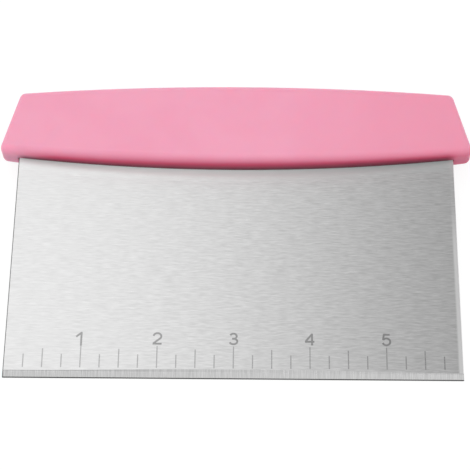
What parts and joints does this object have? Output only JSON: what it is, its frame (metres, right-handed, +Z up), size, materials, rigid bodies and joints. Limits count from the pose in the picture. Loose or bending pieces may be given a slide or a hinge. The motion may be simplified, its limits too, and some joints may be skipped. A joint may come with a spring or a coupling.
{
  "type": "pan scraper",
  "caption": "Flat scraper with a wide ground steel blade, ruled in inches, held in a full-width moulded plastic handle with a crowned face.",
  "frame": {"origin": "on the table under the middle of the scraper's bounding box, as it lies at rest on its back", "axes": "+X along the working edge, reading the ruler upwards, +Y from the working edge towards the handle, +Z up, out of the ruled front face apart from the rest lean of 5.2 degrees"},
  "size_m": [0.1648, 0.1076, 0.0177],
  "materials": {
    "blade_steel": "brushed across the width, bevel ground upright",
    "handle_plastic": "fine matte moulded pink"
  },
  "bodies": {
    "root": {"blade": "blade_steel", "handle_front_shell": "handle_plastic", "handle_rear_shell": "handle_plastic"}
  },
  "joints": []
}
